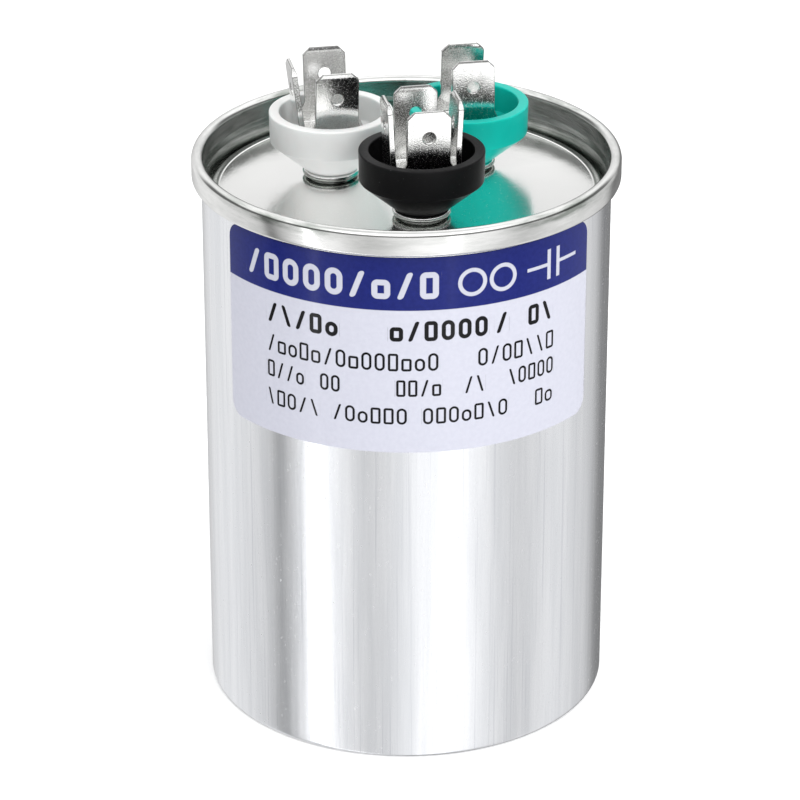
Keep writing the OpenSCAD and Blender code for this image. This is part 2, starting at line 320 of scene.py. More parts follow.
@dataclass(frozen=True)
class Look:
    """What varies over a surface: its colour, its roughness and the height of its relief."""

    tone: bpy.types.NodeSocket
    rough: Value
    height: Value | None = None


@dataclass(frozen=True)
class Finish:
    """A procedural finish; each kind varies its own colour, roughness and relief."""

    name: str

    def material(self) -> bpy.types.Material:
        """The finish as a material, made once.

        Returns:
            The material.
        """
        title = "finish_" + self.name
        made = bpy.data.materials.get(title)
        if made is not None:
            return made
        made = bpy.data.materials.new(title)
        made.use_nodes = True
        book = NodeBook(made.node_tree)
        look = self.vary(book)
        inputs = {**self.constants(), "Base Color": look.tone, "Roughness": look.rough}
        if look.height is not None:
            inputs["Normal"] = book.bump(look.height)
        shader = book.node("ShaderNodeBsdfPrincipled", None, inputs)
        book.node("ShaderNodeOutputMaterial", None, {"Surface": shader.outputs[0]})
        return made

    def constants(self) -> dict:
        """Inputs of the shader that are the same all over: here those of a bare metal."""
        return {"Metallic": 1.0}

    def vary(self, book: NodeBook) -> Look:
        """What changes over the surface; each kind of finish has its own."""
        raise NotImplementedError


def grey(level: float) -> Colour:
    """An even grey."""
    return (level, level, level, 1.0)


@dataclass(frozen=True)
class DrawnAluminium(Finish):
    """Bright aluminium with the fine upright lines of deep drawing and some handling marks."""

    dull: Colour = (0.805, 0.820, 0.850, 1.0)
    bright: Colour = (0.925, 0.935, 0.960, 1.0)
    scored: Colour = (0.60, 0.615, 0.665, 1.0)
    dusty: Colour = (0.70, 0.715, 0.75, 1.0)

    def vary(self, book: NodeBook) -> Look:
        """Upright lines, soft streaks and waves, with specks, patches, scores and dust.

        Args:
            book: The material's node book.

        Returns:
            What varies over the wall.
        """
        lines = book.clouds(5200.0, 3.0, 0.6, 0.012)
        streaks = book.clouds(420.0, 3.0, 0.6, 0.05)
        waves = book.clouds(60.0, 1.0, lift=0.16)
        specks = book.clouds(2600.0, 1.0, lift=0.5).rise(0.70, 0.78)
        patches = book.clouds(190.0, 4.0, 0.7, 0.45)
        scores = book.clouds(1900.0, 3.0, 0.7, 0.008).rise(0.56, 0.70)
        dust = book.clouds(5200.0, 2.0, lift=0.35).rise(0.55, 0.75)
        tone = book.mix(streaks.rise(0.25, 0.75), self.dull, self.bright)
        tone = book.mix(scores * 0.45, tone, self.scored)
        tone = book.mix(dust * 0.25, tone, self.dusty)
        height = lines * 0.010 + streaks * 0.035 + waves * 0.5 + patches * 0.02 + specks * 0.012
        return Look(book.mix(specks * 0.35, tone, grey(1.0)),
                    0.15 + patches * 0.07 + lines * 0.10 + specks * 0.2, height)


@dataclass(frozen=True)
class RolledTin(Finish):
    """Tinned sheet: fine grain on the flat panel, and drawn lines round the wall and seam.

    The groove, the inner wall, the flanks of the seam and the foot of each collar carry painted
    shade and painted reflections. The spans say, in metres, where the wall and the seam start, and
    how high the painted shade at the foot of a collar and the painted dark reflections on the
    flanks of the seam lie.
    """

    wall_r: Span = (0.0282, 0.0286)
    seam_r: Span = (0.02970, 0.02985)
    collar_shade_z: Span = (0.07963, 0.08022)
    flank_shade_z: Span = (0.0836, 0.0850)
    bright: Colour = (0.87, 0.87, 0.86, 1.0)
    # dark: colour of the painted shade and painted reflections on the groove, inner wall, seam and
    # collar feet
    dark: Colour = (0.32, 0.345, 0.32, 1.0)

    def vary(self, book: NodeBook) -> Look:
        """Grain inside the groove, lines and smears round the axis outside it, with painted shade
        and painted reflection streaks on the groove, inner wall, seam flanks and collar feet.

        Args:
            book: The material's node book.

        Returns:
            What varies over the lid.
        """
        x, _, _ = book.place()
        radius, angle, z = book.polar()
        outer = radius.rise(*self.wall_r)
        seam = radius.rise(*self.seam_r)
        wall, panel = outer - seam, 1 - outer
        rings = book.noise(book.vector(radius, angle * 0.0009, z), 5200.0, 2.0, 0.6)
        smears = book.noise(book.vector(radius, angle * 0.006, z), 700.0, 3.0, 0.65)
        grain = book.clouds(5200.0, 1.0)
        sparks = grain.rise(0.66, 0.78)
        cloud = book.clouds(240.0, 3.0, 0.6)
        # painted reflection streaks: dark smears of the mirrored surroundings, painted onto the
        # wall and the seam
        painted_streak = smears.rise(0.35, 0.7)
        # painted reflection: dark patches on the seam's outer face, at its front left and front
        # right, where the surroundings are mirrored
        side = x / radius
        flank_shade = side.band(0.50, 0.92, 0.12).most((0 - side).band(0.38, 0.80, 0.13))
        flank_shade = flank_shade * z.band(*self.flank_shade_z, 0.0004) * (0.35 + painted_streak * 0.65)
        # painted shade and painted reflection: the groove and inner wall are darkened all round,
        # more along the streaks
        dark = wall * (0.58 + painted_streak * 0.42) + seam * (painted_streak * 0.25 + flank_shade * 0.9)
        # painted shade on the lower wall of each collar, just above the panel
        dark = dark + z.band(*self.collar_shade_z, 0.00004) * panel * 0.9
        tone = book.mix(dark, self.bright, self.dark)
        rough = (0.11 + cloud * 0.07 + sparks * 0.18) * panel
        rough = rough + wall * (0.16 + rings * 0.12) + seam * (0.10 + rings * 0.07)
        height = panel * (grain * 0.030 + cloud * 0.08) + wall * (rings * 0.02 + smears * 0.09)
        height = height + seam * (rings * 0.006 + smears * 0.03)
        return Look(book.mix(sparks * panel * 0.35, tone, grey(0.98)), rough, height)


@dataclass(frozen=True)
class Moulding(Finish):
    """Injection moulded plastic with a faint skin and soft flow marks."""

    colour: Colour = grey(0.8)
    shade: Colour = grey(0.7)
    gloss: float = 0.35
    scatter: float = 0.0
    shine: float = 0.4

    def constants(self) -> dict:
        """A plain plastic, a little see-through where it scatters light."""
        return {"Metallic": 0.0, "IOR": 1.49, "Specular IOR Level": self.shine,
                "Subsurface Weight": self.scatter, "Subsurface Radius": (0.8, 1.0, 1.0),
                "Subsurface Scale": 0.002}

    def vary(self, book: NodeBook) -> Look:
        """Cloudy colour, patchy gloss and a fine orange-peel skin.

        Args:
            book: The material's node book.

        Returns:
            What varies over the moulding.
        """
        cloud = book.clouds(160.0, 3.0)
        skin = book.clouds(2400.0, 2.0)
        specks = book.clouds(3800.0, 1.0).rise(0.74, 0.80)
        tone = book.mix(cloud.rise(0.3, 0.7), self.colour, self.shade)
        return Look(book.mix(specks * 0.10, tone, grey(0.7)),
                    self.gloss + cloud * 0.08 + skin * 0.05,
                    skin * 0.05 + cloud * 0.2 + specks * 0.02)


@dataclass(frozen=True)
class TinnedSheet(Finish):
    """Bright tin plate over brass, with a sparkling grain and faint rolling lines."""

    tint: Colour = (0.86, 0.86, 0.85, 1.0)
    gloss: float = 0.07
    dulled: Colour = (0.76, 0.76, 0.75, 1.0)

    def vary(self, book: NodeBook) -> Look:
        """Sparkling grain with dark pits, rolling lines and dull clouds.

        Args:
            book: The material's node book.

        Returns:
            What varies over the sheet.
        """
        grain = book.clouds(7200.0, 1.0)
        sparks, pits = grain.rise(0.56, 0.70), (1 - grain).rise(0.56, 0.70)
        wipes = book.clouds(900.0, 3.0, 0.6, 0.2)
        dull = book.clouds(300.0, 3.0, 0.6)
        tone = book.mix(dull.rise(0.4, 0.8), self.tint, self.dulled)
        tone = book.mix(pits * 0.5, tone, grey(0.42))
        return Look(book.mix(sparks * 0.6, tone, grey(0.98)),
                    self.gloss + dull * 0.08 + sparks * 0.20,
                    grain * 0.045 + wipes * 0.006 + dull * 0.02)


@dataclass(frozen=True)
class Row:
    """One line of a label's plain print: height, middle, width of a cell, the runs of cells as
    their starts and counts, and the weight of the strokes, in millimetres."""

    height: float
    middle: float
    pitch: float
    runs: tuple[tuple[float, int], ...]
    weight: float


@dataclass(frozen=True)
class PrintedFilm(Finish):
    """Semi-gloss label film with a coloured header and print of plain rings, boxes and bars.

    Lengths are in millimetres. A fixed random number from 0 to 1 picks the sign of each cell, and
    the four spans after the rows say where one kind gives way to the next.
    """

    radius: float = 30.08
    turn: float = 1.1
    header_low: float = 72.65
    title: Row = Row(4.1, 76.45, 3.42, ((-26.4, 9),), 0.86)
    rows: tuple[Row, ...] = (
        Row(3.10, 69.45, 2.45, ((-22.4, 5), (-3.2, 6), (12.2, 1), (17.6, 2)), 0.62),
        Row(2.75, 64.65, 1.90, ((-22.4, 14), (9.6, 7)), 0.36),
        Row(2.60, 60.60, 1.70, ((-22.4, 4), (-13.4, 2), (-2.2, 4), (7.6, 2), (14.4, 5)), 0.35),
        Row(2.55, 56.20, 1.87, ((-22.6, 5), (-11.5, 6), (1.6, 7), (19.1, 2)), 0.35))
    right_lean: Span = (0.17, 0.18)
    hollow: Span = (0.34, 0.35)
    square: Span = (0.50, 0.80)
    short: Span = (0.66, 0.67)
    sign_w: float = 0.78
    drop: float = 0.14
    print_soft: float = 0.05
    mark_soft: float = 0.06
    ring_r: Span = (1.55, 2.15)
    rings: tuple[float, ...] = (8.9, 13.6)
    plates: tuple[float, ...] = (21.6, 23.4)
    plate_half: Point = (0.32, 2.3)
    wires: tuple[Span, ...] = ((17.6, 21.4), (23.6, 27.4))
    wire_half: float = 0.26
    paper: tuple[Colour, Colour] = ((0.475, 0.482, 0.555, 1.0), (0.502, 0.509, 0.580, 1.0))
    header: tuple[Colour, Colour] = ((0.0054, 0.0108, 0.113, 1.0), (0.0078, 0.0140, 0.136, 1.0))
    ink: Colour = (0.003, 0.003, 0.004, 1.0)
    white: Colour = (0.46, 0.47, 0.54, 1.0)

    def constants(self) -> dict:
        """A film with a thin gloss."""
        return {"Metallic": 0.0, "IOR": 1.5, "Specular IOR Level": 0.2}

    def print_row(self, book: NodeBook, along: Value, up: Value, row: Row) -> Value:
        """Where one row of plain print has ink: rings, boxes and slanting bars.

        Args:
            book: The material's node book.
            along: Millimetres round the can from the label's middle.
            up: Height in millimetres.
            row: What the row holds.

        Returns:
            1 on ink and 0 beside it.
        """
        runs = [(along.band(start, start + count * row.pitch, self.print_soft), start % row.pitch)
                for start, count in row.runs]
        inside = total(run for run, _ in runs)
        cell = (along - total(run * phase for run, phase in runs)) * (1 / row.pitch)
        luck = book.chance(cell.floor() + row.middle)
        hollow = luck.rise(*self.hollow)
        low = luck.rise(*self.short)
        edgy = luck.band(*self.square, 0.005)
        slant = 0.9 * row.pitch / row.height
        lean = (luck.rise(*self.right_lean) - 0.5) * (1 - hollow) * slant
        half, pen = self.sign_w / 2 * row.pitch, row.weight / 2
        wide = pen + hollow * (half - pen)
        corner = wide - edgy * (half - row.weight)
        tall = row.height / 2 - low * (self.drop * row.height)
        level = up - row.middle + low * (self.drop * row.height)
        across = abs((cell.fraction() - 0.5) * row.pitch - level * lean) - wide + corner
        rise = abs(level) - tall + corner
        far = (across.most(0.0) ** 2 + rise.most(0.0) ** 2) ** 0.5
        edge = far - (across.most(rise) * -1.0).most(0.0) - corner
        return inside * (abs(edge + pen) - pen).under(0.0, self.print_soft)

    def vary(self, book: NodeBook) -> Look:
        """Header, print, fine tooth of the film and faint wrinkles.

        Args:
            book: The material's node book.

        Returns:
            What varies over the label.
        """
        _, angle, z = book.polar()
        along = (angle - math.radians(self.turn)) * self.radius
        up = z * 1000.0
        header = up.rise(self.header_low - self.mark_soft, self.header_low + self.mark_soft)
        ink = total(self.print_row(book, along, up, row) for row in self.rows)
        white = self.print_row(book, along, up, self.title) + self.marks(along, up)
        faint = book.noise(book.vector(along, up, 0.0), 1.4, 3.0, 0.6)
        patch = faint.rise(0.3, 0.7)
        body = book.mix(ink, book.mix(patch, *self.paper), self.ink)
        head = book.mix(white, book.mix(patch, *self.header), self.white)
        tooth = book.noise(book.vector(along, up, 0.0), 9.0, 2.0)
        wrinkle = book.noise(book.vector(along, up * 0.4, 0.0), 0.12, 2.0)
        return Look(book.mix(header, body, head), 0.12 + faint * 0.05 + tooth * 0.04,
                    tooth * 0.01 + wrinkle * 0.25)

    def marks(self, along: Value, up: Value) -> Value:
        """Two plain rings and the circuit symbol of a capacitor, in white on the header.

        Args:
            along: Millimetres round the can from the label's middle.
            up: Height in millimetres.

        Returns:
            1 on a mark and 0 beside it.
        """
        soft = self.mark_soft
        level = up - self.title.middle
        wide, tall = self.plate_half
        signs = [(((along - middle) * (along - middle) + level * level) ** 0.5)
                 .band(*self.ring_r, soft) for middle in self.rings]
        signs += [along.band(plate - wide, plate + wide, soft) * abs(level).under(tall, soft)
                  for plate in self.plates]
        wire = total(along.band(*ends, soft) for ends in self.wires)
        return total(signs) + wire * abs(level).under(self.wire_half, soft)


@dataclass(frozen=True)
class WoundLayers(Finish):
    """Layers of film wound round an axis, as seen on the faces of a roll."""

    light: Colour = (0.80, 0.74, 0.52, 1.0)
    dark: Colour = (0.55, 0.50, 0.36, 1.0)

    def constants(self) -> dict:
        """A polished film."""
        return {"Metallic": 0.0, "IOR": 1.5}

    def vary(self, book: NodeBook) -> Look:
        """Thin rings of many turns.

        Args:
            book: The material's node book.

        Returns:
            What varies over the roll.
        """
        radius, angle, z = book.polar()
        turns = book.noise(book.vector(radius, angle * 0.0005, z * 0.02), 6000.0, 2.0, 0.6)
        return Look(book.mix(turns.rise(0.3, 0.7), self.light, self.dark), 0.28 + turns * 0.2,
                    turns * 0.1)


@dataclass(frozen=True)
class Granular(Finish):
    """A rough solid: sprayed zinc, pressed board or soft compound, as its colours say."""

    light: Colour = grey(0.5)
    dark: Colour = grey(0.3)
    metal: float = 0.0
    depth: float = 0.3
    rough: float = 0.6

    def constants(self) -> dict:
        """Metal or not."""
        return {"Metallic": self.metal}

    def vary(self, book: NodeBook) -> Look:
        """Grains over soft clouds.

        Args:
            book: The material's node book.

        Returns:
            What varies over the solid.
        """
        grains = book.clouds(2600.0, 3.0, 0.7)
        mask = (grains * 0.7 + book.clouds(220.0, 2.0) * 0.3).rise(0.35, 0.65)
        return Look(book.mix(mask, self.dark, self.light), self.rough + grains * 0.2,
                    grains * self.depth)


SHEARED = Granular("sheared_edge", (0.30, 0.30, 0.29, 1.0), (0.16, 0.16, 0.155, 1.0),
                   metal=0.9, depth=0.015, rough=0.30)


@dataclass(frozen=True)
class Studio(Finish):
    """The pale floor."""

    def constants(self) -> dict:
        """A matt paint."""
        return {"Metallic": 0.0, "Specular IOR Level": 0.2}

    def vary(self, book: NodeBook) -> Look:
        """An almost even white.

        Args:
            book: The material's node book.

        Returns:
            What varies over the floor.
        """
        cloud = book.clouds(9.0, 2.0, lift=0.0)
        return Look(book.mix(cloud, grey(0.93), grey(0.95)), 0.7 + cloud * 0.1)


# ------------------------------------------------------------------------------------- modelling


def arc(middle: Point, radius: float, start: float, end: float, count: int = 12) -> list[Point]:
    """Points of an arc.

    Args:
        middle: Its middle.
        radius: Its radius.
        start: Angle of its first point, in degrees.
        end: Angle of its last point, in degrees.
        count: Number of steps.

    Returns:
        The points in order.
    """
    turns = [math.radians(start + (end - start) * i / count) for i in range(count + 1)]
    return [(middle[0] + radius * math.cos(t), middle[1] + radius * math.sin(t)) for t in turns]


def strip(line: list[Point], thickness: float) -> list[Point]:
    """Outline of a sheet along its middle line.

    Args:
        line: Points of the middle line.
        thickness: Thickness of the sheet.

    Returns:
        One side forwards and the other side back.
    """
    sides: list[tuple[Point, Point]] = []
    last = len(line) - 1
    for i, (px, py) in enumerate(line):
        normals = []
        for j in (max(i, 1), min(i + 1, last)):
            dx, dy = line[j][0] - line[j - 1][0], line[j][1] - line[j - 1][1]
            length = math.hypot(dx, dy)
            normals.append((-dy / length, dx / length))
        (ax, ay), (bx, by) = normals
        share = thickness / 2 / (1 + ax * bx + ay * by)
        mx, my = (ax + bx) * share, (ay + by) * share
        sides.append(((px + mx, py + my), (px - mx, py - my)))
    return [a for a, _ in sides] + [b for _, b in reversed(sides)]


class Bench:
    """Modelling steps as they are done by hand."""

    @staticmethod
    def clear() -> None:
        """Leaves edit mode with nothing selected."""
        if bpy.context.mode != "OBJECT":
            bpy.ops.object.mode_set(mode="OBJECT")
        bpy.ops.object.select_all(action="DESELECT")

    @staticmethod
    def pick(piece: bpy.types.Object) -> None:
        """Selects one piece and makes it active.

        Args:
            piece: The piece.
        """
        Bench.clear()
        piece.select_set(True)
        bpy.context.view_layer.objects.active = piece

    @staticmethod
    def edit(piece: bpy.types.Object) -> None:
        """Opens one piece for editing with all of it selected.

        Args:
            piece: The piece.
        """
        Bench.pick(piece)
        bpy.ops.object.mode_set(mode="EDIT")
        bpy.ops.mesh.select_all(action="SELECT")

    @staticmethod
    def title(piece: bpy.types.Object, name: str) -> None:
        """Names a piece and its mesh."""
        piece.name = name
        piece.data.name = name

    @staticmethod
    def draw(name: str, points: list[Vector], closed: bool) -> bpy.types.Object:
        """Draws a line by extruding one vertex from point to point.

        Args:
            name: Name of the piece.
            points: Points in metres.
            closed: Whether the last point joins the first.

        Returns:
            The piece, left in edit mode with all of it selected.
        """
        Bench.clear()
        bpy.ops.mesh.primitive_plane_add(size=MM, location=(0, 0, 0))
        piece = bpy.context.object
        Bench.title(piece, name)
        Bench.edit(piece)
        bpy.ops.mesh.merge(type="CENTER")
        bpy.ops.transform.translate(value=points[0])
        path = points + [points[0]] if closed else points
        for start, end in zip(path, path[1:]):
            bpy.ops.mesh.extrude_region_move(TRANSFORM_OT_translate={"value": end - start})
        bpy.ops.mesh.select_all(action="SELECT")
        bpy.ops.mesh.remove_doubles(threshold=DRAWN_GAP)
        return piece

    @staticmethod
    def close() -> None:
        """Turns the faces of the solid that is being edited outwards, and leaves edit mode."""
        bpy.ops.mesh.select_all(action="SELECT")
        bpy.ops.mesh.normals_make_consistent(inside=False)
        Bench.clear()

    @staticmethod
    def lathe(name: str, profile: list[Point], steps: int,
              closed: bool = True) -> bpy.types.Object:
        """Spins a profile about the Z axis.

        Args:
            name: Name of the piece.
            profile: Radii and heights in millimetres.
            steps: Faces in a full turn.
            closed: Whether the profile joins up; one that starts and ends on the axis doesn't.

        Returns:
            The closed solid.
        """
        piece = Bench.draw(name, [Vector((r * MM, 0, z * MM)) for r, z in profile], closed)
        bpy.ops.mesh.spin(steps=steps, angle=2 * math.pi, center=(0, 0, 0), axis=(0, 0, 1))
        bpy.ops.mesh.select_all(action="SELECT")
        bpy.ops.mesh.remove_doubles(threshold=SPUN_GAP)
        Bench.close()
        return piece

    @staticmethod
    def slab(name: str, outline: list[Vector], along: Vector) -> bpy.types.Object:
        """Fills a flat outline and extrudes it.

        Args:
            name: Name of the piece.
            outline: Corners in metres.
            along: Direction and length of the extrusion.

        Returns:
            The solid.
        """
        piece = Bench.draw(name, outline, True)
        bpy.ops.mesh.edge_face_add()
        bpy.ops.mesh.extrude_region_move(TRANSFORM_OT_translate={"value": along})
        Bench.close()
        return piece

    @staticmethod
    def drill(piece: bpy.types.Object, radius: float, length: float, matrix: Matrix) -> None:
        """Bores a round hole.

        Args:
            piece: The piece that is bored.
            radius: Radius in millimetres.
            length: Length of the drill in millimetres.
            matrix: Place of the drill's middle; it bores along its Z axis.
        """
        Bench.clear()
        bpy.ops.mesh.primitive_cylinder_add(vertices=48, radius=radius * MM, depth=length * MM)
        tool = bpy.context.object
        Bench.settle(tool, matrix)
        Bench.combine(piece, tool, "DIFFERENCE")

    @staticmethod
    def settle(piece: bpy.types.Object, matrix: Matrix) -> None:
        """Moves a piece and puts its place into its mesh.

        Args:
            piece: The piece.
            matrix: Its place.
        """
        piece.matrix_world = matrix
        Bench.pick(piece)
        bpy.ops.object.transform_apply(location=True, rotation=True, scale=True)

    @staticmethod
    def modify(piece: bpy.types.Object, kind: str, **settings: object) -> None:
        """Adds a modifier and applies it.

        Args:
            piece: The piece.
            kind: The modifier's type.
            settings: What is set on it.
        """
        Bench.pick(piece)
        modifier = piece.modifiers.new(kind.lower(), kind)
        for key, setting in settings.items():
            setattr(modifier, key, setting)
        bpy.ops.object.modifier_apply(modifier=modifier.name)

    @staticmethod
    def combine(piece: bpy.types.Object, other: bpy.types.Object, operation: str) -> None:
        """Cuts, joins or crosses a piece with another, which is used up.

        Args:
            piece: The piece that is kept.
            other: The other solid.
            operation: DIFFERENCE, UNION or INTERSECT.
        """
        Bench.modify(piece, "BOOLEAN", operation=operation, solver="EXACT", object=other)
        bpy.data.objects.remove(other)

    @staticmethod
    def ease(piece: bpy.types.Object, width: float) -> None:
        """Rounds a piece's sharp edges; the roundings get the piece's second material.

        Args:
            piece: The piece.
            width: Width of the rounding in metres.
        """
        Bench.modify(piece, "BEVEL", width=width, segments=2, limit_method="ANGLE",
                     angle_limit=math.radians(35), material=1, use_clamp_overlap=False)

    @staticmethod
    def smooth(piece: bpy.types.Object, angle: float = 32.0) -> None:
        """Shades a piece smooth except over edges sharper than the angle, in degrees."""
        Bench.pick(piece)
        bpy.ops.object.shade_smooth_by_angle(angle=math.radians(angle))

    @staticmethod
    def even(piece: bpy.types.Object) -> None:
        """Lets the broad faces rule the shading, so that they look flat beside rounded edges."""
        Bench.modify(piece, "WEIGHTED_NORMAL", keep_sharp=True, weight=100)

    @staticmethod
    def weld(piece: bpy.types.Object, other: bpy.types.Object) -> None:
        """Joins a piece with another that has one face in common with it.

        Args:
            piece: The piece that is kept.
            other: The other solid, which is used up.
        """
        Bench.pick(piece)
        other.select_set(True)
        bpy.ops.object.join()
        Bench.edit(piece)
        bpy.ops.mesh.remove_doubles(threshold=WELD_GAP)
        bpy.ops.mesh.select_all(action="DESELECT")
        bpy.ops.mesh.select_mode(type="FACE")
        bpy.ops.mesh.select_interior_faces()
        bpy.ops.mesh.delete(type="FACE")
        bpy.ops.mesh.select_mode(type="VERT")
        Bench.clear()

    @staticmethod
    def copy(piece: bpy.types.Object, name: str, matrix: Matrix) -> bpy.types.Object:
        """Copies a piece with a mesh of its own.

        Args:
            piece: What is copied.
            name: Name of the copy.
            matrix: Place of the copy.

        Returns:
            The copy, with its place in its mesh.
        """
        Bench.pick(piece)
        bpy.ops.object.duplicate(linked=False)
        made = bpy.context.object
        Bench.title(made, name)
        Bench.settle(made, matrix)
        return made


# ----------------------------------------------------------------------------------- the object


@dataclass(frozen=True)
class Levels:
    """Sizes that several pieces share, in millimetres."""

    can_r: float = 30.0
    can_h: float = 85.0
    wall: float = 0.36
    sheet: float = 0.32
    gap: float = 0.03
    seam_h: float = 3.7
    neck_h: float = 0.8
    neck_drop: float = 0.1
    dish: float = 5.45
    pitch_r: float = 11.7
    turn: float = 10.8
    collar_h: float = 1.15
    collar_r: float = 3.2
    cup_r: float = 9.1
    cup_cone: float = 4.35
    cup_straight: float = 4.6
    well: float = 4.05
    tab_t: float = 0.8
    shank_r: float = 1.5
    fit: float = 0.05
    washer_t: float = 1.5
    tag_t: float = 0.5

    @property
    def layer(self) -> float:
        """From the middle of a layer of the seam to the next."""
        return self.wall / 2 + self.gap + self.sheet / 2

    @property
    def neck_out(self) -> float:
        """How far the can's neck stands out under the seam."""
        return self.layer - self.gap

    @property
    def body_line(self) -> float:
        """Middle of the can's wall."""
        return self.can_r - self.wall / 2

    @property
    def chuck_low(self) -> float:
        """Middle of the lid's inner wall."""
        return self.body_line - self.layer

    @property
    def arch_r(self) -> float:
        """Middle of the seam's top."""
        return self.chuck_low + self.neck_out + 2 * self.layer

    @property
    def arch_z(self) -> float:
        """Height of the seam's round top."""
        return self.can_h - self.sheet / 2 - 2 * self.layer

    @property
    def neck_z(self) -> float:
        """Where the neck starts."""
        return self.can_h - self.seam_h - self.neck_drop

    @property
    def curl_z(self) -> float:
        """Height of the middle of the curl under the seam."""
        return self.can_h - self.seam_h + self.sheet / 2 + self.layer

    @property
    def panel_z(self) -> float:
        """Top of the lid's panel."""
        return self.can_h - self.dish

    @property
    def panel_under(self) -> float:
        """Underside of the lid's panel."""
        return self.panel_z - self.sheet

    @property
    def seat_z(self) -> float:
        """Top of a collar."""
        return self.panel_z + self.collar_h

    @property
    def cone_top(self) -> float:
        """Where a cup's wall starts."""
        return self.seat_z + self.cup_cone

    @property
    def cup_top(self) -> float:
        """Mouth of a cup."""
        return self.cone_top + self.cup_straight

    @property
    def well_z(self) -> float:
        """Floor of a cup's well."""
        return self.cup_top - self.well


class Terminal(Enum):
    """The three terminals: direction in the lid, and how far each tab leans out, in degrees."""

    WHITE = ("white", 150.0, (6.2, None, 8.0, 7.0))
    BLACK = ("black", -90.0, (4.6, 2.8, 1.4, 3.2))
    GREEN = ("green", 30.0, (-0.4, None, -8.4, None))

    def __init__(self, label: str, direction: float, leans: tuple[float | None, ...]) -> None:
        """Keeps what the three values mean.

        Args:
            label: The colour's name, which starts the names of the terminal's pieces.
            direction: Its direction from the axis, before the lid is turned.
            leans: The lean of the tab on each side, or None on a side without one.
        """
        self.label = label
        self.direction = direction
        self.leans = leans

    def place(self, levels: Levels) -> Matrix:
        """From a terminal's own axis to its place in the lid.

        Args:
            levels: The shared sizes.

        Returns:
            The place, turned as the lid is.
        """
        angle = math.radians(self.direction)
        spot = Vector((math.cos(angle), math.sin(angle), 0)) * levels.pitch_r * MM
        return Matrix.Rotation(math.radians(levels.turn), 4, "Z") @ Matrix.Translation(spot)


def dress(piece: bpy.types.Object, finish: Finish | None, slot: str, *nodes: str) -> None:
    """Gives a piece its finish and body, and lets it stand for CAD nodes.

    Args:
        piece: The piece, at the origin.
        finish: Its finish, or None for a piece that has its materials.
        slot: Not used.
        nodes: The CAD nodes that it stands for.
    """
    if finish is not None:
        piece.data.materials.clear()
        piece.data.materials.append(finish.material())
    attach(piece, "root")
    if nodes:
        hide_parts(*nodes)
    LOG.info("piece %s: %d faces", piece.name, len(piece.data.polygons))


